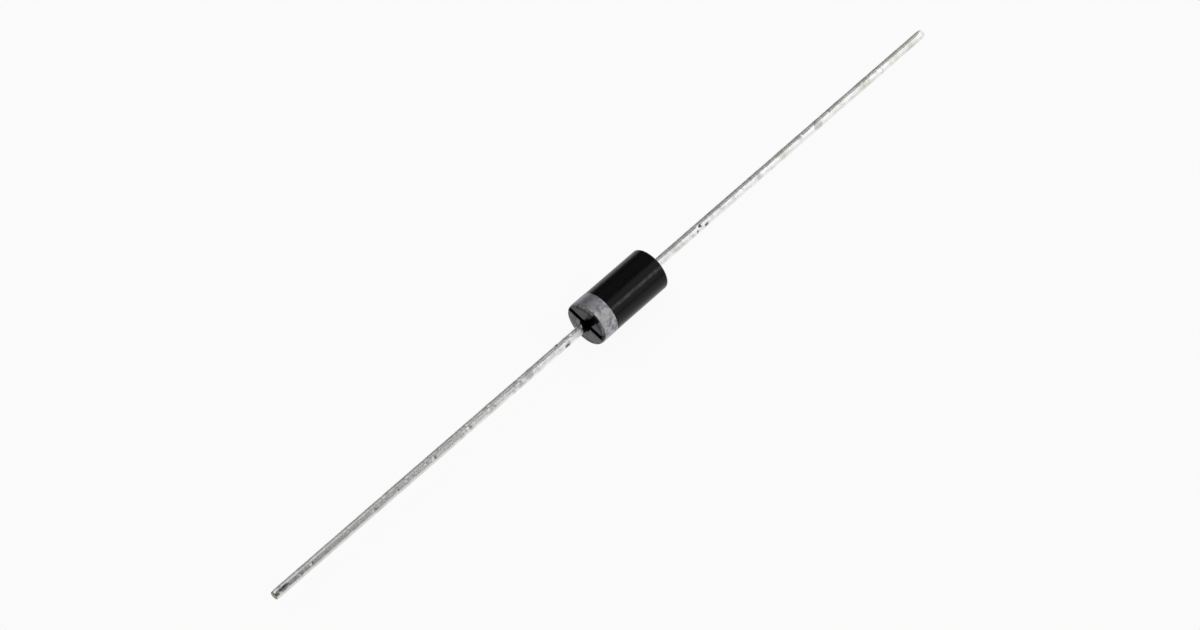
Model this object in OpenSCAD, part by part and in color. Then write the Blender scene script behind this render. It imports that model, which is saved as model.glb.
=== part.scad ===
// Axial rectifier diode: a moulded case with a wire lead out of each end.
// The axis lies along X, with the cathode, its band and its lead towards -X.
// The origin is the middle of the case, on the axis. Lengths are in millimetres.

/* [Case] */
// Length of the moulded case
case_l = 6.6; // [4:0.1:9]
// Diameter of the moulded case
case_d = 3.3; // [2.6:0.1:5.4]
// Radius of the rounded rim at each end
rim_r = 0.16; // [0.06:0.01:0.3]

/* [End slots] */
// Turn of the wide slot about the axis, from +Y towards +Z
wide_slot_turn = 122; // [90:1:180]
// Width of the wide slot
wide_slot_w = 0.4; // [0.2:0.02:0.6]
// Angle from the wide slot to the narrow one that crosses it
narrow_slot_turn = 70; // [60:1:90]
// Width of the narrow slot
narrow_slot_w = 0.38; // [0.2:0.02:0.5]
// Distance of the middle of the narrow slot from the axis
narrow_slot_shift = 0.32; // [0:0.02:0.4]
// Depth of both slots
slot_depth = 0.26; // [0.1:0.02:0.5]
// Distance from the outer ends of the slots to the side of the case
slot_margin = 0.08; // [0.04:0.01:0.2]
// Distance over which the floor of a slot climbs to its outer end
slot_runout = 0.1; // [0.05:0.01:0.3]
// Gap between the lead and the wall of the round recess about it
recess_gap = 0.1; // [0.04:0.02:0.3]
// Depth of the round recess about the lead
recess_depth = 0.46; // [0.1:0.02:0.6]

/* [Parting line] */
// Turn of the parting plane about the axis, from +Y towards +Z
parting_turn = 129; // [0:1:180]
// Width of the moulding flash along the parting line
flash_w = 0.09; // [0.04:0.01:0.2]
// Height of the moulding flash
flash_h = 0.014; // [0.006:0.002:0.02]

/* [Cathode band] */
// Distance from the end of the case to the ink
band_start = 0.28; // [0.2:0.02:0.6]
// Width of the printed band
band_w = 1.22; // [0.6:0.02:1.6]
// Thickness of the ink
band_t = 0.02; // [0.01:0.005:0.05]

/* [Leads] */
// Diameter of the wire
wire_d = 0.7; // [0.6:0.02:1.3]
// Length of each lead outside the case
lead_l = 29; // [10:0.5:60]
// Bevel left by the cutter at the tip of a lead
tip_bevel = 0.06; // [0.02:0.01:0.15]
// Diameter of the nail head inside the case
head_d = 1.8; // [1.7:0.05:2.2]
// Thickness of the nail head
head_t = 0.36; // [0.15:0.03:0.6]
// Length of the conical neck behind the nail head
neck_l = 0.25; // [0.1:0.05:0.4]
// Growth in diameter of the wire at the neck, where heading has upset it
upset_d = 0.08; // [0.02:0.01:0.2]

/* [Junction] */
// Side of the square silicon die
die_w = 1.1; // [0.6:0.05:1.15]
// Thickness of the die
die_t = 0.26; // [0.15:0.01:0.4]
// Diameter of each solder joint
solder_d = 1.04; // [0.5:0.02:1.08]
// Thickness of each solder joint
solder_t = 0.05; // [0.03:0.01:0.15]
// Diameter of the resin bead that seals the edge of the die
coating_d = 1.7; // [1.66:0.02:1.7]

/* [Hidden] */
$fn = 128;

// How far a cutting solid reaches past the face that it opens
over = 0.1;
case_r = case_d / 2;
end_x = case_l / 2;
wire_r = wire_d / 2;
recess_r = wire_r + recess_gap;
slot_reach = case_r - slot_margin;
// Places along the axis, from the middle of the die outwards
die_face = die_t / 2;
head_face = die_face + solder_t;
head_back = head_face + head_t;
neck_end = head_back + neck_l;
neck_r = (wire_d + upset_d) / 2;
// The cone behind the head starts half way between the head and the wire
neck_root_r = (head_d / 2 + neck_r) / 2;
tip_x = end_x + lead_l;

// Stands the axis of a turned shape along X.
module lay() {
    rotate([0, 90, 0]) children();
}

// Turns a shape made for the anode end about Z, so that it fits the cathode end.
module cathode_side() {
    rotate([0, 0, 180]) children();
}

// Half section of a round bar with rounded rims, as radius and height.
module bar_section(radius, half_length, rim) {
    flank = half_length - rim;
    translate([0, -half_length]) square([radius - rim, 2 * half_length]);
    translate([0, -flank]) square([radius, 2 * flank]);
    for (y = [-flank, flank]) {
        translate([radius - rim, y]) circle(r = rim);
    }
}

module bar(radius, half_length, rim) {
    lay() rotate_extrude() bar_section(radius, half_length, rim);
}

// One slot as seen along the axis, right across the case.
module slot_plan(width, turn, shift) {
    rotate([0, 0, turn]) translate([-case_r, -width / 2 - shift]) square([case_d, width]);
}

// Room for the two crossed slots and the recess about the wire, at the +X end.
module end_relief() {
    slope = slot_runout / slot_depth;
    intersection() {
        translate([end_x - slot_depth, 0, 0]) rotate([90, 0, 90]) linear_extrude(slot_depth + over) {
            slot_plan(wide_slot_w, wide_slot_turn, 0);
            slot_plan(narrow_slot_w, wide_slot_turn + narrow_slot_turn, narrow_slot_shift);
        }
        // The floors climb to the outer ends along a cone
        translate([end_x - slot_depth, 0, 0]) lay() {
            cylinder(h = slot_depth + over, r1 = slot_reach - slot_runout, r2 = slot_reach + slope * over);
        }
    }
    translate([end_x - recess_depth, 0, 0]) lay() cylinder(h = recess_depth + over, r = recess_r);
}

// Thin ridge that the two halves of the mould leave along both sides.
module flash() {
    ridge_start = band_start + band_w - end_x;
    ridge_end = end_x - rim_r;
    root = case_r - over;
    for (side = [0, 180]) {
        rotate([parting_turn + side, 0, 0]) translate([ridge_start, root, -flash_w / 2]) {
            cube([ridge_end - ridge_start, over + flash_h, flash_w]);
        }
    }
}

// The part of a lead that the case grips, and the wire up to the end of the case.
module lead_root() {
    translate([head_face, 0, 0]) lay() cylinder(h = head_t, d = head_d);
    translate([head_back, 0, 0]) lay() cylinder(h = neck_l, r1 = neck_root_r, r2 = neck_r);
    translate([neck_end, 0, 0]) lay() {
        cylinder(h = end_x - neck_end, r1 = neck_r, r2 = wire_r);
    }
}

module lead() {
    lead_root();
    translate([end_x, 0, 0]) lay() cylinder(h = lead_l - tip_bevel, r = wire_r);
    translate([tip_x - tip_bevel, 0, 0]) lay() {
        cylinder(h = tip_bevel, r1 = wire_r, r2 = wire_r - tip_bevel);
    }
}

module solder_disc() {
    translate([die_face, 0, 0]) lay() cylinder(h = solder_t, d = solder_d);
}

module die_block() {
    cube([die_t, die_w, die_w], center = true);
}

module coating_bead() {
    translate([-head_face, 0, 0]) lay() cylinder(h = 2 * head_face, d = coating_d);
}

module case() {
    color([0.05, 0.05, 0.055]) difference() {
        union() {
            bar(case_r, end_x, rim_r);
            flash();
        }
        coating_bead();
        lead_root();
        cathode_side() lead_root();
        end_relief();
        mirror([1, 0, 0]) end_relief();
    }
}

module cathode_band() {
    color([0.66, 0.66, 0.68]) lay() rotate_extrude() intersection() {
        translate([0, band_start - end_x]) square([case_d, band_w]);
        difference() {
            bar_section(case_r + band_t, end_x + band_t, rim_r + band_t);
            bar_section(case_r, end_x, rim_r);
        }
    }
}

module cathode_lead() {
    color([0.78, 0.78, 0.76]) cathode_side() lead();
}

module anode_lead() {
    color([0.78, 0.78, 0.76]) lead();
}

module silicon_die() {
    color([0.35, 0.37, 0.42]) die_block();
}

module cathode_solder() {
    color([0.6, 0.6, 0.62]) cathode_side() solder_disc();
}

module anode_solder() {
    color([0.6, 0.6, 0.62]) solder_disc();
}

module junction_coating() {
    color([0.9, 0.88, 0.8]) difference() {
        coating_bead();
        die_block();
        solder_disc();
        cathode_side() solder_disc();
    }
}

case();
cathode_band();
cathode_lead();
anode_lead();
silicon_die();
cathode_solder();
anode_solder();
junction_coating();
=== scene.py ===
"""Finishes of an axial rectifier diode: moulded case, printed band, wire leads and sealed junction."""

import math

import bmesh
import bpy
from mathutils import Matrix, Vector, noise


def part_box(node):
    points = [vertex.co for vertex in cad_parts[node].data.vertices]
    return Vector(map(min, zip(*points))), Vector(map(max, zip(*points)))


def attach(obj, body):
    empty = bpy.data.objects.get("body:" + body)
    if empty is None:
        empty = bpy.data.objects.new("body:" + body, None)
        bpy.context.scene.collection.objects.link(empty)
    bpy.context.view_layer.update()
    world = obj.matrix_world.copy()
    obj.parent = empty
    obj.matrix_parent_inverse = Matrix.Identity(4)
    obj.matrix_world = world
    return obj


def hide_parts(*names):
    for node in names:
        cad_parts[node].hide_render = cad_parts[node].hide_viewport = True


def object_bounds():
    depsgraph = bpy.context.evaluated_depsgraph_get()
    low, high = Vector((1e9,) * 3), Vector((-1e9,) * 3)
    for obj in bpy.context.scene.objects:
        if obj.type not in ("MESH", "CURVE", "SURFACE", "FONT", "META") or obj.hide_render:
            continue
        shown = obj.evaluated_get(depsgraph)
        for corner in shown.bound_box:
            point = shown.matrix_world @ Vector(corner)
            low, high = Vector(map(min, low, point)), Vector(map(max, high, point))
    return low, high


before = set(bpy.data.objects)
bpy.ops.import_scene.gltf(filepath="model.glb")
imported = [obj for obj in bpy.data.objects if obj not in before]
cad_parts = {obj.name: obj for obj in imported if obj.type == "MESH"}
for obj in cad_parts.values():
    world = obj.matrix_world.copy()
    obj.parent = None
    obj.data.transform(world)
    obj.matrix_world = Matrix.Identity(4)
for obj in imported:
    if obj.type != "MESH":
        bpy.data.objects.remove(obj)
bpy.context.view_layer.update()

# Lengths are in millimetres up to the last step of each mesh. Turns and angles with a name are in degrees,
# and those that a function works out are in radians.
MM = 0.001
PER_MM = 1 / MM
BODY = "root"
# Lengths below the first count as nought, and points closer than the second are merged.
NOUGHT = 1e-4
MERGE = 1e-5


def box_mm(node):
    """Lowest and highest corner of a node, in millimetres."""
    low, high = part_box(node)
    return low * PER_MM, high * PER_MM


# Sizes read from the frame.
case_high = box_mm("case")[1]
band_low, band_high = box_mm("cathode_band")
lead_low, lead_high = box_mm("anode_lead")
coating_high = box_mm("junction_coating")[1]
END_X = case_high.x
CASE_R = case_high.z
BAND_R = min(band_high.y, band_high.z)
BAND_START = band_low.x
BAND_END = band_high.x
HEAD_FACE = lead_low.x
HEAD_R = lead_high.z
TIP_X = lead_high.x
COATING_R = coating_high.z

# Sizes that no box shows, the same as in the part's source.
RIM_R = 0.16
WIDE_SLOT_TURN = 122
WIDE_SLOT_W = 0.4
NARROW_SLOT_TURN = 70
NARROW_SLOT_W = 0.38
NARROW_SLOT_SHIFT = 0.32
SLOT_DEPTH = 0.26
SLOT_MARGIN = 0.08
SLOT_REACH = CASE_R - SLOT_MARGIN
SLOT_RUNOUT = 0.1
WIRE_R = 0.35
RECESS_GAP = 0.1
RECESS_R = WIRE_R + RECESS_GAP
RECESS_DEPTH = 0.46
PARTING_TURN = 129
FLASH_W = 0.09
FLASH_H = 0.014
HEAD_T = 0.36
HEAD_BACK = HEAD_FACE + HEAD_T
NECK_L = 0.25
NECK_END = HEAD_BACK + NECK_L
UPSET_D = 0.08
NECK_R = WIRE_R + UPSET_D / 2
NECK_ROOT_R = (HEAD_R + NECK_R) / 2

# Rounding of the edges and feet of slots and recess, and the most of a wall that it takes.
EDGE_R = 0.034
FOOT_R = 0.036
ROUND_SHARE = 0.4
LIP_R = RECESS_R + EDGE_R
# How far a slot is wider at its edges than at its floor, on each side.
SLOT_DRAFT = 0.014
# Width of the strip of pad that belongs to a slot or to the recess.
STRIP_W = 0.02
# How far the pads of each end lie below its highest point.
PAD_DROP = 0.005
# How pale each pad is, in turn order from the wide slot, and its rim as a share of that; the rim shares are
# painted light and shade, paler rims on two pads and darker on the other two.
PAD_TONES = (0.24, 0.61, 1.25, 0.17)
RIM_PAINTED_LIGHT_AND_SHADE = (2.9, 0.2, 0.25, 3.1)
ANODE_RIM_TONE = 0.1
# How far the paleness of the rim runs on under the band.
UNDER_BAND = 0.1
# Width of the painted shade that darkens each pad along the slot before and after it, and round the recess.
SLOT_PAINTED_SHADE = ((0.08, 0.26), (0.06, 0.06), (0.06, 0.06), (0.08, 0.3))
RECESS_PAINTED_SHADE = (0.1, 0.08, 0.08, 0.4)
# How pale the torn edge of the moulding flash is, and how far that spreads to each side of it; the paleness
# is partly the flash's scuffed resin and partly a painted highlight along the parting line.
FLASH_SCUFF_AND_HIGHLIGHT = 0.24
FLASH_SCUFF_AND_HIGHLIGHT_SPREAD = 0.17
# How far a black collar of resin runs out along the wire at the cathode and at the anode end, and where it
# runs furthest.
COLLAR_REACH = {-1: 0.36, 1: 0.2}
COLLAR_TURN = 200

# The cutter squeezes the wire over this length, by this much, and leaves a rounded, slightly hollow end.
SQUEEZE_L = 0.3
SQUEEZE = 0.035
TIP_ROUND = 0.05
TIP_HOLLOW = 0.006
# Length of wire from the tip that the cutter has bared.
BARE_L = 0.055
# Places along the cathode wire between which it is painted darker, as painted shade towards its tip.
TIP_SHADE_START = -8.0
TIP_SHADE_END = -21.0
# Place along the wire, turn about it, half length and half width in degrees of each nick from handling.
CATHODE_NICKS = [(5.3, 4, 0.34, 46), (5.95, 124, 0.14, 30), (31.65, 67, 0.62, 18)]
ANODE_NICKS = [(8.1, 116, 0.16, 24), (8.7, 162, 0.26, 28), (7.8, 159, 0.12, 22)]

# How far the ink's inner skin lies inside the case, and how its edges thin out.
INK_SINK = 0.004
INK_EDGE_DROP = 0.009
INK_EDGE_L = 0.006

# Numbers of steps that the meshes take: across a pad and the band, along the flash and along a wire.
PAD_STEPS = 30
BAND_STEPS = 30
FLASH_STEPS = 60
WIRE_STEPS = 560


# ---------------------------------------------------------------- node trees

def add(tree, kind, inputs=None, **settings):
    """Adds a node, sets its own settings, and links or sets its inputs."""
    made = tree.nodes.new(kind)
    for name, value in settings.items():
        setattr(made, name, value)
    for socket, value in (inputs or {}).items():
        if isinstance(value, bpy.types.NodeSocket):
            tree.links.new(value, made.inputs[socket])
        else:
            made.inputs[socket].default_value = value
    return made


def maths(tree, operation, *values):
    return add(tree, "ShaderNodeMath", dict(enumerate(values)), operation=operation).outputs[0]


def blend_range(tree, value, start, end, low=0.0, high=1.0):
    """A smooth step from low to high as the value goes from start to end."""
    inputs = {"Value": value, "From Min": start, "From Max": end, "To Min": low, "To Max": high}
    return add(tree, "ShaderNodeMapRange", inputs, interpolation_type="SMOOTHSTEP").outputs[0]


def noise_value(tree, vector, scale, detail, roughness, seed=0.0):
    inputs = {"Vector": vector, "W": seed, "Scale": scale, "Detail": detail, "Roughness": roughness}
    return add(tree, "ShaderNodeTexNoise", inputs, noise_dimensions="4D").outputs[0]


def mix_colours(tree, factor, first, second):
    inputs = {"Factor": factor, 6: first, 7: second}
    return add(tree, "ShaderNodeMix", inputs, data_type="RGBA").outputs[2]


# ---------------------------------------------------------------- meshes

def finish_mesh(name, mesh, material, slot, *nodes):
    """Closes and orients a mesh made in millimetres, and puts it in the frame in place of its nodes."""
    work = bmesh.new()
    work.from_mesh(mesh)
    bmesh.ops.remove_doubles(work, verts=work.verts, dist=MERGE)
    bmesh.ops.dissolve_degenerate(work, edges=work.edges, dist=MERGE / 10)
    bmesh.ops.recalc_face_normals(work, faces=work.faces)
    for face in work.faces:
        face.smooth = True
    work.to_mesh(mesh)
    work.free()
    mesh.transform(Matrix.Scale(MM, 4))
    mesh.materials.clear()
    mesh.materials.append(material)
    piece = bpy.data.objects.new(name, mesh)
    bpy.context.scene.collection.objects.link(piece)
    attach(piece, BODY)
    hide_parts(*nodes)


def spread(start, end, steps):
    """Values from start to end, both included."""
    return [start + (end - start) * k / steps for k in range(steps + 1)]


def quarter(steps):
    """Angles of a quarter of a turn, in radians, both ends included."""
    return [math.radians(angle) for angle in spread(0, 90, steps)]


def slot_section(width):
    """Distances from the middle of a slot to the points of half of its section."""
    half = width / 2
    lip = half + SLOT_DRAFT
    section = spread(0, half - FOOT_R, 14)
    section += [half - FOOT_R + FOOT_R * math.sin(b) for b in quarter(4)[1:]]
    section += [lip + EDGE_R * (1 - math.cos(b)) for b in quarter(4)]
    return section + [lip + EDGE_R + STRIP_W]


def section_depth(y, width, depth):
    """How far below the pads a slot lies at this distance from its middle, where the slot is this deep."""
    half = width / 2
    lip = half + SLOT_DRAFT
    foot = min(FOOT_R, ROUND_SHARE * depth)
    edge = min(EDGE_R, ROUND_SHARE * depth)
    if y < half:
        share = max(0.0, y - half + FOOT_R) / FOOT_R
        return depth - foot * (1 - math.sqrt(1 - share**2))
    if y < lip:
        return depth - foot + (edge - depth + foot) * (y - half) / SLOT_DRAFT
    share = min(1.0, (y - lip) / EDGE_R)
    return edge * (1 - math.sqrt(share * (2 - share)))


# Turn of each arm of the slots, its width, and how far its middle lies from the axis, towards greater turns.
SLOT_ARMS = [(0, WIDE_SLOT_W, 0.0), (NARROW_SLOT_TURN, NARROW_SLOT_W, -NARROW_SLOT_SHIFT)]
SLOT_ARMS += [(180 + turn, width, -shift) for turn, width, shift in SLOT_ARMS]


def make_columns():
    """Columns of the case's mesh, in turn order.

    One on a slot is (arm, side, distance from the arm's middle), and one on a pad is (arm before it, share
    of the way across).
    """
    made = []
    for k, (_, width, _) in enumerate(SLOT_ARMS):
        section = slot_section(width)
        made += [(k, -1, y) for y in reversed(section[1:])]
        made += [(k, 1, y) for y in section]
        made += [(k, step / PAD_STEPS) for step in range(1, PAD_STEPS)]
    return made


COLUMNS = make_columns()


def arm_angle(k, side, y, radius):
    """Turn from the wide slot, in radians, of a line along an arm where it passes this radius."""
    turn, _, shift = SLOT_ARMS[k % 4]
    sine = max(-1.0, min(1.0, (shift + side * y) / radius))
    return math.radians(turn + 360 * (k // 4)) + math.asin(sine)


def pad_angles(k, radius):
    """Turns of the two sides of a pad, which are the same where the slots beside it have run together."""
    lips = [slot_section(SLOT_ARMS[j % 4][1])[-1] for j in (k, k + 1)]
    start = arm_angle(k, 1, lips[0], radius)
    end = arm_angle(k + 1, -1, lips[1], radius)
    middle = (start + end) / 2
    return min(start, middle), max(end, middle)


def column_angle(column, radius):
    """Turn of a column from the wide slot, in radians, where it passes this radius."""
    if len(column) == 2:
        start, end = pad_angles(column[0], radius)
        return start + (end - start) * column[1]
    k, side, y = column
    angle = arm_angle(k, side, y, radius)
    if side > 0:
        return min(angle, pad_angles(k, radius)[0])
    return max(angle, pad_angles(k - 1, radius)[1])


def pad_place(column):
    """The pad that a column lies on or beside, and its share of the way across."""
    if len(column) == 2:
        return column
    k, side, _ = column
    return (k, 0) if side > 0 else (k - 1, 1)


def place(x, radius, angle):
    """A point at this turn from the wide slot."""
    turn = angle + math.radians(WIDE_SLOT_TURN)
    return Vector((x, radius * math.cos(turn), radius * math.sin(turn)))


def pad_drop(radius):
    """How far the pads lie below the end plane, and round the rim."""
    out = max(0.0, radius - (CASE_R - RIM_R))
    return RIM_R - math.sqrt(max(0.0, RIM_R**2 - out**2)) * (1 - PAD_DROP / RIM_R)


def slot_drop(radius, angle):
    """How far the slots lie below the pads at a place on the end. The angle is from the wide slot."""
    floor = SLOT_DEPTH * min(1.0, (SLOT_REACH - radius) / SLOT_RUNOUT)
    depth = max(0.0, floor - pad_drop(radius))
    deepest = 0.0
    for turn, width, shift in SLOT_ARMS[:2]:
        y = abs(radius * math.sin(angle - math.radians(turn)) - shift)
        deepest = max(deepest, section_depth(y, width, depth))
    return deepest


def eroded_skin(point):
    """Uneven skin of the pads, which the mould's eroded face leaves."""
    return PAD_DROP * (0.55 * noise.noise(point * 7) + 0.3 * noise.noise(point * 21))


def is_pad(radius, angle):
    return slot_drop(radius, angle) < NOUGHT


def clear_of_painted_shade(k, share, point):
    """Nought where a pad is darkened by painted shade, along the slots and round the recess, and one clear
    of it.

    The painted shade has a ragged edge, and narrows towards the side of the case.
    """
    radius = math.hypot(point.y, point.z)
    start, end = pad_angles(k, radius)
    wide = radius * (end - start)
    ragged = max(0.15, 0.7 + 0.9 * noise.noise(point * 5) + 0.5 * noise.noise(point * 14))
    taper = 1.7 - radius / CASE_R
    before, after = [width * taper for width in SLOT_PAINTED_SHADE[k % 4]]
    room = (share * wide / before, (1 - share) * wide / after, (radius - RECESS_R) / RECESS_PAINTED_SHADE[k % 4])
    return max(0.0, min(1.0, 2 * (min(room) / ragged - 0.5)))


def end_ring(radius, side):
    """One ring of an end of the case, over pads and slots."""
    ring = []
    for column in COLUMNS:
        angle = column_angle(column, radius)
        point = place(side * END_X, radius, angle)
        drop = pad_drop(radius) + slot_drop(radius, angle)
        if is_pad(radius, angle):
            fade = min(1.0, (CASE_R - radius) / RIM_R)
            drop += max(0.0, eroded_skin(point) * fade)
        point.x = side * (END_X - drop)
        ring.append(point)
    return ring


def recess_ring(growth, share_down, foot, side):
    """One ring on the wall of the recess about the wire, at its lip or at its foot."""
    ring = []
    for column in COLUMNS:
        angle = column_angle(column, LIP_R)
        top = pad_drop(LIP_R) + slot_drop(LIP_R, angle)
        wall = RECESS_DEPTH - top
        if foot:
            drop = RECESS_DEPTH - min(FOOT_R, ROUND_SHARE * wall) * share_down
        else:
            drop = top + min(EDGE_R, ROUND_SHARE * wall) * share_down
        ring.append(place(side * (END_X - drop), RECESS_R + growth, angle))
    return ring


def round_ring(x, radius):
    return [place(x, radius, column_angle(column, LIP_R)) for column in COLUMNS]


def collar_ring(share, film, side):
    """One ring on the black collar of resin round the wire, at a share of the way to its edge."""
    furthest = math.radians(COLLAR_TURN - WIDE_SLOT_TURN)
    ring = []
    for column in COLUMNS:
        angle = column_angle(column, LIP_R)
        ragged = noise.noise(Vector((3 * math.cos(angle), 3 * math.sin(angle), side * 5)))
        edge = COLLAR_REACH[side] * (1 + 0.45 * math.cos(angle - furthest) + 0.22 * ragged)
        drop = RECESS_DEPTH - (RECESS_DEPTH + edge) * share
        ring.append(place(side * (END_X - drop), WIRE_R + film, angle))
    return ring


def from_parting(angle):
    """Distance round the case from the nearer moulding flash. The angle is from the wide slot."""
    parting = math.radians(PARTING_TURN - WIDE_SLOT_TURN)
    return CASE_R * abs(math.remainder(angle - parting, math.pi))


def flash_height(x, angle):
    """Height of the moulding flash at a place on the side of the case."""
    if not BAND_END < x < END_X - RIM_R:
        return 0.0
    torn = 0.75 + 0.4 * noise.noise(Vector((x * 6, math.cos(angle) * 3, 2.0)))
    return FLASH_H * min(1.0, torn) * max(0.0, 1 - (2 * from_parting(angle) / FLASH_W) ** 2)


def side_ring(drop, side):
    """One ring round the side of the case, with the moulding flash."""
    ring = []
    x = side * (END_X - drop)
    for column in COLUMNS:
        angle = column_angle(column, CASE_R)
        ring.append(place(x, CASE_R + flash_height(x, angle), angle))
    return ring


def end_rings(side):
    """Rings from the wire at one end out to its side wall."""
    # The film of resin thickens from its edge inwards, and climbs to the foot of the recess.
    rings = [collar_ring(1, 0.001, side), collar_ring(1, 0.006, side), collar_ring(0.96, 0.014, side)]
    rings += [collar_ring(share, 0.016 + 0.02 * (1 - share) ** 2, side) for share in (0.85, 0.7, 0.5, 0.3)]
    rings += [collar_ring(share, 0.03 + 0.25 * (0.2 - share), side) for share in (0.15, 0.05, 0.0)]
    rings += [recess_ring(-FOOT_R * (1 - math.sin(b)), 1 - math.cos(b), True, side) for b in quarter(3)[1:]]
    rings += [recess_ring(EDGE_R * (1 - math.cos(b)), 1 - math.sin(b), False, side) for b in quarter(4)]
    flat_end = CASE_R - RIM_R
    radii = spread(LIP_R + STRIP_W, flat_end, 18)
    radii += [flat_end + RIM_R * math.sin(a) for a in quarter(12)[1:]]
    rings += [end_ring(radius, side) for radius in radii]
    return rings


def bore_rings(side):
    """Rings inside the case, round one lead, from the middle outwards."""
    stations = [(HEAD_FACE, COATING_R), (HEAD_FACE, HEAD_R), (HEAD_BACK, HEAD_R), (HEAD_BACK, NECK_ROOT_R)]
    # Where the bore opens into the recess, it is still a little wider than the wire outside the case.
    stations += [(NECK_END, NECK_R), (END_X - RECESS_DEPTH, WIRE_R + 0.004)]
    return [round_ring(side * x, radius) for x, radius in stations]


def tone_and_painted_light(column, point):
    """How pale the skin is. Only the pads, with the rim outside them, and the moulding flash are pale. It
    holds the pads' own tone with painted light and shade on the cathode rim, a partly painted highlight on
    the flash, and painted shade along the slots and round the recess.
    """
    radius = math.hypot(point.y, point.z)
    drop = END_X - abs(point.x)
    angle = math.atan2(point.z, point.y) - math.radians(WIDE_SLOT_TURN)
    if BAND_END < point.x < END_X - RIM_R and radius > CASE_R - NOUGHT:
        # Partly scuffed resin, partly a painted highlight along the flash.
        return FLASH_SCUFF_AND_HIGHLIGHT * max(0.0, 1 - from_parting(angle) / FLASH_SCUFF_AND_HIGHLIGHT_SPREAD)
    on_end = drop <= END_X + BAND_START + UNDER_BAND and radius >= LIP_R
    if not on_end or not is_pad(radius, angle):
        return 0.0
    k, share = pad_place(column)
    rim = min(1.0, drop / RIM_R)
    # On the cathode end the rim's tone is painted light and shade.
    rim_tone = RIM_PAINTED_LIGHT_AND_SHADE[k % 4] if point.x < 0 else ANODE_RIM_TONE
    # The pad's tone is cleared away by painted shade along the slots and round the recess.
    return PAD_TONES[k % 4] * (1 - rim + rim * rim_tone) * clear_of_painted_shade(k, share, point)


def case_mesh():
    """The case as one sheet of rings, from end to end outside and back round the leads inside."""
    # The flash ends between two rings that lie close together.
    close = 0.004
    near_end = END_X + BAND_END
    far_end = END_X - BAND_END
    near_drops = spread(RIM_R + 0.1, near_end - 0.05, 5) + [near_end - close]
    far_drops = [RIM_R + close, RIM_R + 0.03] + spread(RIM_R + 0.1, far_end - 0.1, FLASH_STEPS)
    far_drops += [far_end - 0.03, far_end - close]
    rings = end_rings(-1)
    rings += [side_ring(drop, -1) for drop in near_drops]
    rings += [side_ring(drop, 1) for drop in reversed(far_drops)]
    rings += reversed(end_rings(1))
    rings += reversed(bore_rings(1))
    rings += bore_rings(-1)
    wide = len(COLUMNS)
    faces = []
    for i in range(len(rings)):
        here = i * wide
        after = (i + 1) % len(rings) * wide
        for j in range(wide):
            beside = (j + 1) % wide
            faces.append((here + j, here + beside, after + beside, after + j))
    mesh = bpy.data.meshes.new("case")
    mesh.from_pydata([tuple(point) for ring in rings for point in ring], [], faces)
    # Each point's paleness, with the painted light and shade that it carries.
    pale = mesh.attributes.new("pale", "FLOAT", "POINT")
    for i, ring in enumerate(rings):
        for j, point in enumerate(ring):
            pale.data[i * wide + j].value = tone_and_painted_light(COLUMNS[j], point)
    return mesh


# ---------------------------------------------------------------- turned pieces

NICKS = ("First", "Second", "Third")
NICK_SIZES = ("place", "turn", "length", "width")
TURNING_SIZES = {
    "Sides": 48,
    "Dent depth": 0.0,
    "Dent size": 0.5,
    "Draw mark depth": 0.0,
    "Ripple depth": 0.0,
    "Ripple length": 2.0,
    "Marks start": 0.0,
    "Edge wander": 0.0,
    "Edge middle": 0.0,
    "Seed": 0.0,
    "Nick depth": 0.0,
}
TURNING_SIZES |= {f"{number} nick {size}": 0.0 for number in NICKS for size in NICK_SIZES}


def turning_sockets(tree):
    """Gives the tree its named inputs and its output, and returns the sockets of the inputs."""
    panel = tree.interface
    panel.new_socket("Outline", in_out="INPUT", socket_type="NodeSocketGeometry")
    for name, value in TURNING_SIZES.items():
        kind = "NodeSocketInt" if name == "Sides" else "NodeSocketFloat"
        panel.new_socket(name, in_out="INPUT", socket_type=kind).default_value = value
    panel.new_socket("Finish", in_out="INPUT", socket_type="NodeSocketMaterial")
    panel.new_socket("Piece", in_out="OUTPUT", socket_type="NodeSocketGeometry")
    return tree.nodes.new("NodeGroupInput").outputs


def turned_sheet(tree, given):
    """A flat sheet with a row for each point of the outline, and where each of its points has to go.

    That is its place along the axis, its radius and its turn.
    """
    points = add(tree, "GeometryNodeAttributeDomainSize", {"Geometry": given["Outline"]}).outputs
    count = points["Point Count"]
    wide = maths(tree, "ADD", given["Sides"], 1)
    sheet = add(tree, "GeometryNodeMeshGrid", {"Vertices X": wide, "Vertices Y": count}).outputs["Mesh"]
    index = tree.nodes.new("GeometryNodeInputIndex").outputs[0]
    row = maths(tree, "FLOORED_MODULO", index, count)
    # The added quarter keeps a rounded quotient from falling below its whole number.
    step = maths(tree, "FLOOR", maths(tree, "DIVIDE", maths(tree, "ADD", index, 0.25), count))
    turn = maths(tree, "DIVIDE", maths(tree, "MULTIPLY", step, math.tau), given["Sides"])
    where = tree.nodes.new("GeometryNodeInputPosition").outputs[0]
    inputs = {"Geometry": given["Outline"], "Value": where, "Index": row}
    settings = {"data_type": "FLOAT_VECTOR", "domain": "POINT"}
    sampled = add(tree, "GeometryNodeSampleIndex", inputs, **settings).outputs[0]
    split = add(tree, "ShaderNodeSeparateXYZ", {0: sampled}).outputs
    return sheet, split[0], split[1], turn


def turned_point(tree, along, out, way):
    """The point this far along the axis and this far out. The way out is its cosine and its sine."""
    inputs = {0: along, 1: maths(tree, "MULTIPLY", out, way[0]), 2: maths(tree, "MULTIPLY", out, way[1])}
    return add(tree, "ShaderNodeCombineXYZ", inputs).outputs[0]


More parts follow.
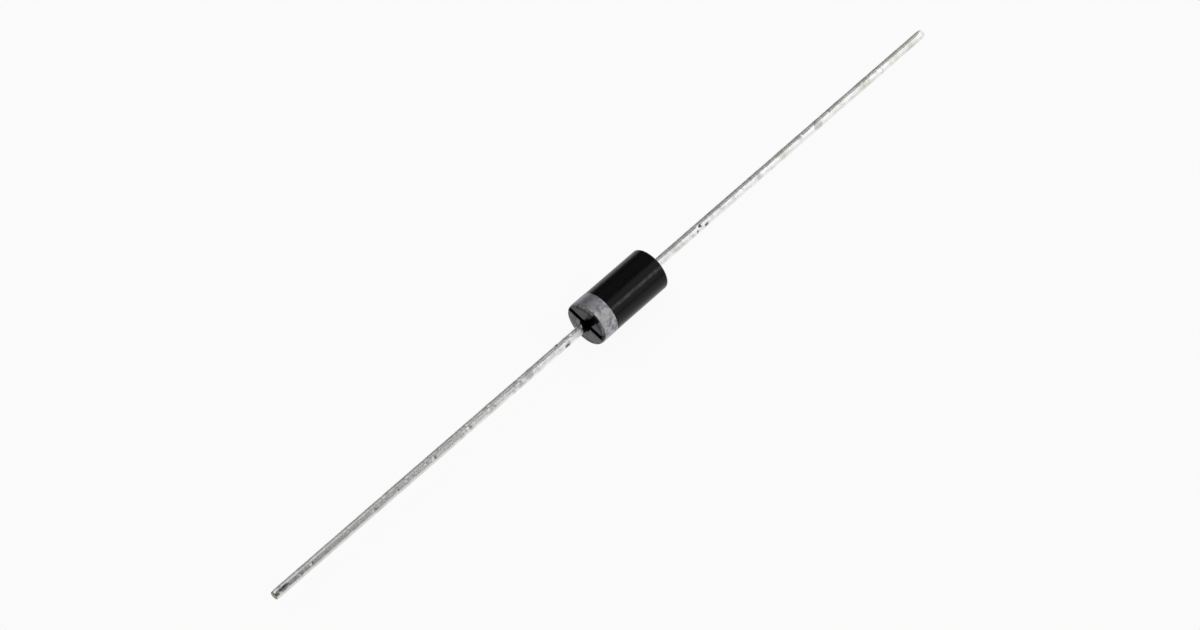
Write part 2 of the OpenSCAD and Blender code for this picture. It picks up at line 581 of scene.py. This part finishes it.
def handling_marks(tree, given, x, radius, way):
    """Depth of the sparse shallow dents, of the draw marks along the wire and of its slow ripple."""
    seed = given["Seed"]
    start = given["Marks start"]
    dent_scale = maths(tree, "DIVIDE", 1.0, given["Dent size"])
    dent = noise_value(tree, turned_point(tree, x, radius, way), dent_scale, 1.0, 0.4, seed)
    dent = blend_range(tree, dent, 0.56, 0.74)
    stretched = turned_point(tree, maths(tree, "MULTIPLY", x, 0.05), radius, way)
    draw = noise_value(tree, stretched, 9.0, 2.0, 0.6, seed)
    ripple_scale = maths(tree, "DIVIDE", 1.0, given["Ripple length"])
    squeezed = turned_point(tree, x, maths(tree, "MULTIPLY", radius, 2.0), way)
    ripple = noise_value(tree, squeezed, ripple_scale, 1.0, 0.5, seed)
    cut = maths(tree, "MULTIPLY", dent, given["Dent depth"])
    cut = maths(tree, "ADD", cut, maths(tree, "MULTIPLY", draw, given["Draw mark depth"]))
    cut = maths(tree, "ADD", cut, maths(tree, "MULTIPLY", ripple, given["Ripple depth"]))
    bare = blend_range(tree, maths(tree, "ABSOLUTE", x), start, maths(tree, "ADD", start, 0.6))
    return maths(tree, "MULTIPLY", cut, bare)


def nick(tree, given, number, x, turn):
    """How deep one nick is at each place, as a share."""
    from_middle = maths(tree, "ABSOLUTE", maths(tree, "SUBTRACT", x, given[f"{number} nick place"]))
    nick_turn = maths(tree, "RADIANS", given[f"{number} nick turn"])
    facing = maths(tree, "COSINE", maths(tree, "SUBTRACT", turn, nick_turn))
    limit = maths(tree, "COSINE", maths(tree, "RADIANS", given[f"{number} nick width"]))
    along = maths(tree, "DIVIDE", from_middle, given[f"{number} nick length"])
    shares = [blend_range(tree, along, 1.0, 0.3), blend_range(tree, facing, limit, 1.0)]
    return maths(tree, "MULTIPLY", *shares)


def edge_wander(tree, given, x, way):
    """How far each of the two printed edges of the band strays along the axis."""
    from_middle = maths(tree, "SUBTRACT", x, given["Edge middle"])
    half = maths(tree, "SIGN", from_middle)
    ragged = noise_value(tree, turned_point(tree, half, 1.0, way), 2.6, 4.0, 0.65, given["Seed"])
    ragged = maths(tree, "MULTIPLY", maths(tree, "SUBTRACT", ragged, 0.5), given["Edge wander"])
    near_edge = blend_range(tree, maths(tree, "ABSOLUTE", from_middle), 0.3, 0.6)
    return maths(tree, "MULTIPLY", ragged, near_edge)


def turning_tree():
    """Turns an outline of (place along X, radius along Y) about the X axis, and marks its skin."""
    tree = bpy.data.node_groups.new("turned_piece", "GeometryNodeTree")
    given = turning_sockets(tree)
    sheet, x, radius, turn = turned_sheet(tree, given)
    way = maths(tree, "COSINE", turn), maths(tree, "SINE", turn)
    nicks = nick(tree, given, NICKS[0], x, turn)
    for number in NICKS[1:]:
        nicks = maths(tree, "MAXIMUM", nicks, nick(tree, given, number, x, turn))
    cut = handling_marks(tree, given, x, radius, way)
    cut = maths(tree, "ADD", cut, maths(tree, "MULTIPLY", nicks, given["Nick depth"]))
    # Points on the axis stay there, and close the ends.
    off_axis = maths(tree, "GREATER_THAN", radius, 0.01)
    slimmed = maths(tree, "SUBTRACT", radius, maths(tree, "MULTIPLY", cut, off_axis))
    strayed = maths(tree, "ADD", x, edge_wander(tree, given, x, way))
    inputs = {"Geometry": sheet, "Position": turned_point(tree, strayed, slimmed, way)}
    rolled = add(tree, "GeometryNodeSetPosition", inputs).outputs[0]
    inputs = {"Geometry": rolled, "Name": "mark", "Value": nicks}
    settings = {"data_type": "FLOAT", "domain": "POINT"}
    marked = add(tree, "GeometryNodeStoreNamedAttribute", inputs, **settings).outputs[0]
    closed = add(tree, "GeometryNodeMergeByDistance", {"Geometry": marked, "Distance": MERGE}).outputs[0]
    real = add(tree, "GeometryNodeRealizeInstances", {"Geometry": closed}).outputs[0]
    inputs = {"Geometry": real, "Material": given["Finish"]}
    done = add(tree, "GeometryNodeSetMaterial", inputs).outputs[0]
    add(tree, "NodeGroupOutput", {"Piece": done})
    return tree


def turned(name, outline, tree, material, slot, nodes, sizes, mirrored=False):
    """Makes a turned piece from its outline, with the tree's named sizes."""
    mesh = bpy.data.meshes.new(name + "_outline")
    edges = [(k, k + 1) for k in range(len(outline) - 1)]
    mesh.from_pydata([(x, r, 0) for x, r in outline], edges, [])
    maker = bpy.data.objects.new(name + "_maker", mesh)
    bpy.context.scene.collection.objects.link(maker)
    modifier = maker.modifiers.new("turn", "NODES")
    modifier.node_group = tree
    given = [item for item in tree.interface.items_tree if item.in_out == "INPUT"]
    sockets = {item.name: item.identifier for item in given}
    for size, value in sizes.items():
        modifier[sockets[size]] = value
    modifier[sockets["Finish"]] = material
    bpy.context.view_layer.update()
    solved = maker.evaluated_get(bpy.context.evaluated_depsgraph_get())
    made = bpy.data.meshes.new_from_object(solved)
    made.name = name
    bpy.data.objects.remove(maker)
    if mirrored:
        made.transform(Matrix.Rotation(math.pi, 4, "Z"))
    finish_mesh(name, made, material, slot, *nodes)


def nick_sizes(nicks):
    """The tree's inputs for a wire's nicks."""
    sizes = {}
    for number, values in zip(NICKS, nicks):
        for size, value in zip(NICK_SIZES, values):
            sizes[f"{number} nick {size}"] = float(value)
    return sizes


def lead_outline():
    """Outline of a lead from the middle of its nail head to the middle of its cut end."""
    points = [(HEAD_FACE, 0.0), (HEAD_FACE, HEAD_R), (HEAD_BACK, HEAD_R), (HEAD_BACK, NECK_ROOT_R)]
    points += [(NECK_END, NECK_R)]
    shank_end = END_X - RECESS_DEPTH - 0.1
    slope = (WIRE_R - NECK_R) / (END_X - NECK_END)
    points += [(x, NECK_R + slope * (x - NECK_END)) for x in spread(shank_end, END_X, 6)]
    round_x = TIP_X - TIP_ROUND
    squeeze_x = round_x - SQUEEZE_L
    points += [(x, WIRE_R) for x in spread(END_X, squeeze_x, WIRE_STEPS)[1:]]
    points += [(squeeze_x + SQUEEZE_L * share, WIRE_R - SQUEEZE * share**2) for share in spread(0, 1, 8)[1:]]
    core_r = WIRE_R - SQUEEZE - TIP_ROUND
    points += [(round_x + TIP_ROUND * math.sin(b), core_r + TIP_ROUND * math.cos(b)) for b in quarter(4)[1:]]
    points += [(TIP_X - TIP_HOLLOW * share, core_r * (1 - share)) for share in spread(0, 1, 6)[1:]]
    return points


def band_outline():
    """Closed outline of the printed band: its skin outside, the case inside."""
    inside = CASE_R - INK_SINK
    thin = BAND_R - INK_EDGE_DROP
    outer = [(x, BAND_R) for x in spread(BAND_START + INK_EDGE_L, BAND_END - INK_EDGE_L, BAND_STEPS)]
    outline = [(BAND_START, inside), (BAND_START, thin)] + outer + [(BAND_END, thin), (BAND_END, inside)]
    return outline + [(x, inside) for x in spread(BAND_END, BAND_START, BAND_STEPS)[1:]]


# ---------------------------------------------------------------- finishes

def new_finish(name, **numbers):
    """A material with its shader, and a coordinate in millimetres on the piece."""
    material = bpy.data.materials.new(name)
    material.use_nodes = True
    tree = material.node_tree
    shader = tree.nodes["Principled BSDF"]
    for socket, value in numbers.items():
        shader.inputs[socket.replace("_", " ")].default_value = value
    place_on = tree.nodes.new("ShaderNodeTexCoord").outputs["Object"]
    inputs = {"Vector": place_on, "Scale": (PER_MM, PER_MM, PER_MM)}
    where = add(tree, "ShaderNodeMapping", inputs).outputs[0]
    return material, tree, shader, where


def along_axis(tree, where, share):
    """The coordinate with its place along X shrunk to a share, so that a pattern on it is drawn out."""
    inputs = {0: where, 1: (share, 1.0, 1.0)}
    return add(tree, "ShaderNodeVectorMath", inputs, operation="MULTIPLY").outputs[0]


def bump(tree, shader, height, depth):
    inputs = {"Height": height, "Distance": depth * MM, "Strength": 1.0}
    made = add(tree, "ShaderNodeBump", inputs)
    tree.links.new(made.outputs[0], shader.inputs["Normal"])


def epoxy_finish():
    material, tree, shader, where = new_finish("moulded_epoxy", Specular_IOR_Level=0.17)
    # The pale attribute carries the pads' own tone together with painted light and shade on the rims, a
    # partly painted highlight on the flash, and painted shade by the slots and recess.
    pale = add(tree, "ShaderNodeAttribute", attribute_name="pale").outputs["Fac"]
    grain = noise_value(tree, where, 20.0, 3.0, 0.6)
    cloud = noise_value(tree, where, 1.8, 3.0, 0.55, 4.0)
    drawn = noise_value(tree, along_axis(tree, where, 0.15), 9.0, 3.0, 0.6, 8.0)
    skin = mix_colours(tree, cloud, (0.0005, 0.0005, 0.0007, 1), (0.0018, 0.0018, 0.0022, 1))
    worn = blend_range(tree, noise_value(tree, where, 3.2, 4.0, 0.6, 9.0), 0.42, 0.58)
    pad = mix_colours(tree, worn, (0.3, 0.3, 0.315, 1), (0.68, 0.68, 0.68, 1))
    pad = mix_colours(tree, maths(tree, "MULTIPLY", grain, 0.5), pad, (0.32, 0.317, 0.34, 1))
    tree.links.new(mix_colours(tree, pale, skin, pad), shader.inputs["Base Color"])
    rough = maths(tree, "ADD", 0.16, maths(tree, "MULTIPLY", drawn, 0.13))
    rough = maths(tree, "ADD", rough, maths(tree, "MULTIPLY", pale, 0.3))
    tree.links.new(rough, shader.inputs["Roughness"])
    height = maths(tree, "ADD", grain, drawn)
    bump(tree, shader, height, 0.004)
    return material


def ink_finish():
    material, tree, shader, where = new_finish("band_ink", Metallic=0.6, Specular_IOR_Level=0.4)
    speckle = noise_value(tree, where, 4.0, 3.0, 0.6, 2.0)
    blotch = noise_value(tree, where, 1.3, 3.0, 0.6, 7.0)
    thin = maths(tree, "ADD", maths(tree, "MULTIPLY", speckle, 0.5), maths(tree, "MULTIPLY", blotch, 0.5))
    thin = blend_range(tree, thin, 0.42, 0.62)
    colour = mix_colours(tree, thin, (0.6, 0.6, 0.61, 1), (0.24, 0.23, 0.27, 1))
    # Painted shade: the band is painted darker towards +Y and up.
    inputs = {0: where, 1: (0, 0.9, 0.44)}
    toward_painted_shade = add(tree, "ShaderNodeVectorMath", inputs, operation="DOT_PRODUCT").outputs["Value"]
    painted_shade_side = blend_range(tree, toward_painted_shade, 0.1, 1.0, 0.0, 0.7)
    colour = mix_colours(tree, painted_shade_side, colour, (0.2, 0.195, 0.225, 1))
    tree.links.new(colour, shader.inputs["Base Color"])
    rough = maths(tree, "ADD", 0.3, maths(tree, "MULTIPLY", speckle, 0.2))
    tree.links.new(rough, shader.inputs["Roughness"])
    bump(tree, shader, speckle, 0.004)
    return material


def wire_finish():
    material, tree, shader, where = new_finish("tinned_wire", Metallic=1.0)
    split = add(tree, "ShaderNodeSeparateXYZ", {0: where}).outputs
    far = maths(tree, "ABSOLUTE", split[0])
    streak = noise_value(tree, along_axis(tree, where, 0.12), 8.0, 3.0, 0.55, 1.0)
    cloud = noise_value(tree, where, 0.5, 4.0, 0.6, 3.0)
    blotch = noise_value(tree, where, 1.6, 1.5, 0.5, 6.0)
    tarnish = blend_range(tree, cloud, 0.5, 0.7, 0.0, 0.8)
    tin = mix_colours(tree, streak, (0.8, 0.8, 0.8, 1), (0.96, 0.96, 0.95, 1))
    tin = mix_colours(tree, blend_range(tree, blotch, 0.48, 0.7), tin, (0.6, 0.6, 0.6, 1))
    colour = mix_colours(tree, tarnish, tin, (0.68, 0.675, 0.6, 1))
    # Painted shade: the cathode wire is painted darker towards its tip.
    tip_painted_shade = blend_range(tree, split[0], TIP_SHADE_START, TIP_SHADE_END, 0.0, 0.7)
    colour = mix_colours(tree, tip_painted_shade, colour, (0.62, 0.62, 0.61, 1))
    # The nicks are painted nearly black, as painted shade in the dents.
    mark = add(tree, "ShaderNodeAttribute", attribute_name="mark").outputs["Fac"]
    colour = mix_colours(tree, mark, colour, (0.1, 0.1, 0.1, 1))
    # The cutter bares the copper at the tip.
    bare = blend_range(tree, far, TIP_X - BARE_L, TIP_X - BARE_L + 0.035)
    copper = mix_colours(tree, streak, (0.12, 0.108, 0.075, 1), (0.27, 0.245, 0.17, 1))
    colour = mix_colours(tree, bare, colour, copper)
    tree.links.new(colour, shader.inputs["Base Color"])
    rough = maths(tree, "ADD", 0.17, maths(tree, "MULTIPLY", streak, 0.14))
    rough = maths(tree, "ADD", rough, maths(tree, "MULTIPLY", blotch, 0.12))
    tree.links.new(rough, shader.inputs["Roughness"])
    height = maths(tree, "ADD", maths(tree, "MULTIPLY", streak, 0.2), blotch)
    bump(tree, shader, height, 0.016)
    return material


def inner_finish(name, dark, light, scale, **numbers):
    """A plain inner piece with a little variation in its colour and skin."""
    material, tree, shader, where = new_finish(name, **numbers)
    grain = noise_value(tree, where, scale, 3.0, 0.6)
    tree.links.new(mix_colours(tree, grain, dark, light), shader.inputs["Base Color"])
    bump(tree, shader, grain, 0.003)
    return material


# ---------------------------------------------------------------- the diode

def build_wires(tree):
    tin = wire_finish()
    marks = {"Dent depth": 0.012, "Dent size": 0.5, "Draw mark depth": 0.003, "Ripple depth": 0.012,
             "Ripple length": 1.5, "Marks start": END_X - 0.3, "Nick depth": 0.035}
    cathode_sizes = {**marks, **nick_sizes(CATHODE_NICKS), "Seed": 3.0}
    anode_sizes = {**marks, **nick_sizes(ANODE_NICKS), "Seed": 11.0}
    turned("cathode_wire", lead_outline(), tree, tin, "tinned_wire", ["cathode_lead"], cathode_sizes, True)
    turned("anode_wire", lead_outline(), tree, tin, "tinned_wire", ["anode_lead"], anode_sizes)


def build_band(tree):
    middle = (BAND_START + BAND_END) / 2
    sizes = {"Sides": 240, "Edge wander": 0.07, "Edge middle": middle, "Marks start": 100.0, "Seed": 5.0}
    turned("printed_band", band_outline(), tree, ink_finish(), "band_ink", ["cathode_band"], sizes)


def finish_inside():
    """The pieces inside the case keep their meshes, and get finishes of their own."""
    silicon = inner_finish("silicon", (0.16, 0.17, 0.2, 1), (0.3, 0.32, 0.37, 1), 12.0,
                           Metallic=0.6, Roughness=0.25)
    solder = inner_finish("solder", (0.42, 0.42, 0.43, 1), (0.62, 0.62, 0.63, 1), 9.0,
                          Metallic=1.0, Roughness=0.45)
    resin = inner_finish("coating_resin", (0.7, 0.67, 0.58, 1), (0.86, 0.84, 0.76, 1), 5.0,
                         Roughness=0.5)
    inner = {"silicon_die": silicon, "cathode_solder": solder, "anode_solder": solder,
             "junction_coating": resin}
    for node, material in inner.items():
        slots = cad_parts[node].data.materials
        slots.clear()
        slots.append(material)


def build_diode():
    finish_mesh("moulded_case", case_mesh(), epoxy_finish(), "moulded_epoxy", "case")
    tree = turning_tree()
    build_wires(tree)
    build_band(tree)
    finish_inside()


# ---------------------------------------------------------------- studio

# Lengths in the studio are in metres, unless a comment says otherwise.
FLOOR_HALF = 4.0
# How much of the floor's look to the eye is plain white.
FLOOR_WHITE = 0.93
SOFTBOX_DISTANCE = 0.7
# Each softbox has its name, the share of its direction along X, its turn about X from +Y, the width and
# height of its face, and the brightness of that face.
SOFTBOXES = [
    ("key_softbox", 0.625, 137, 0.42, 0.88, 1.15),
    ("fill_softbox", 0.0, 60, 0.5, 0.9, 1.0),
    ("back_softbox", 0.766, 70, 0.3, 0.72, 1.2),
]


def floor_finish():
    """Pale floor that shows white to the eye and to polished metal, and keeps the shadow."""
    material = bpy.data.materials.new("studio_floor")
    material.use_nodes = True
    tree = material.node_tree
    shader = tree.nodes["Principled BSDF"]
    shader.inputs["Base Color"].default_value = (0.86, 0.86, 0.86, 1)
    shader.inputs["Roughness"].default_value = 0.9
    shader.inputs["Specular IOR Level"].default_value = 0.0
    white = add(tree, "ShaderNodeEmission", {"Color": (1, 1, 1, 1), "Strength": 1.0}).outputs[0]
    path = tree.nodes.new("ShaderNodeLightPath").outputs
    seen = maths(tree, "MAXIMUM", path["Is Camera Ray"], path["Is Glossy Ray"])
    seen = maths(tree, "MAXIMUM", seen, path["Is Transmission Ray"])
    share = maths(tree, "MULTIPLY", seen, FLOOR_WHITE)
    mixed = add(tree, "ShaderNodeMixShader", {0: share, 1: shader.outputs[0], 2: white}).outputs[0]
    tree.links.new(mixed, tree.nodes["Material Output"].inputs["Surface"])
    return material


def build_floor():
    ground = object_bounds()[0][2]
    mesh = bpy.data.meshes.new("floor")
    corners = [(FLOOR_HALF * x, FLOOR_HALF * y, ground) for x, y in ((-1, -1), (1, -1), (1, 1), (-1, 1))]
    mesh.from_pydata(corners, [], [(0, 1, 2, 3)])
    mesh.materials.append(floor_finish())
    floor = bpy.data.objects.new("floor", mesh)
    bpy.context.scene.collection.objects.link(floor)


def add_softbox(name, along, turn, width, height, brightness):
    """A large soft lamp that faces the diode."""
    t = math.radians(turn)
    out = math.sqrt(1 - along**2)
    away = Vector((along, out * math.cos(t), out * math.sin(t)))
    upright = Vector((0, -math.sin(t), math.cos(t)))
    data = bpy.data.lights.new(name, "AREA")
    data.shape = "RECTANGLE"
    data.size = width
    data.size_y = height
    data.energy = brightness * math.pi * width * height
    lamp = bpy.data.objects.new(name, data)
    turned_to = Matrix((upright.cross(away), upright, away)).transposed().to_4x4()
    lamp.matrix_world = Matrix.Translation(away * SOFTBOX_DISTANCE) @ turned_to
    bpy.context.scene.collection.objects.link(lamp)


def build_light():
    world = bpy.data.worlds.new("studio")
    bpy.context.scene.world = world
    world.use_nodes = True
    backdrop = world.node_tree.nodes["Background"]
    backdrop.inputs["Color"].default_value = (0.1, 0.1, 0.102, 1)
    backdrop.inputs["Strength"].default_value = 1.0
    for softbox in SOFTBOXES:
        add_softbox(*softbox)


def build_camera():
    """Looks down on the diode from the cathode end, with the case a little above and right of the middle."""
    azimuth = math.radians(-47.05)
    elevation = math.radians(54.02)
    distance = 0.22
    # Width of the view at the diode, and how far the case lies from its middle, in millimetres.
    view_width = 81.633
    right_of_middle = 1.221
    above_middle = 1.2245
    right = Vector((math.cos(azimuth), math.sin(azimuth), 0))
    level = Vector((math.sin(azimuth), -math.cos(azimuth), 0))
    back = level * math.cos(elevation) + Vector((0, 0, math.sin(elevation)))
    up = back.cross(right)
    data = bpy.data.cameras.new("camera")
    data.sensor_width = 36
    data.lens = data.sensor_width * distance / (view_width * MM)
    data.clip_start = 0.01
    data.clip_end = 20
    camera = bpy.data.objects.new("camera", data)
    target = -(right * right_of_middle + up * above_middle) * MM
    turn = Matrix((right, up, back)).transposed().to_4x4()
    camera.matrix_world = Matrix.Translation(target + back * distance) @ turn
    bpy.context.scene.collection.objects.link(camera)
    bpy.context.scene.camera = camera


build_camera()
build_diode()
build_floor()
build_light()
bpy.context.scene.view_settings.view_transform = "Standard"
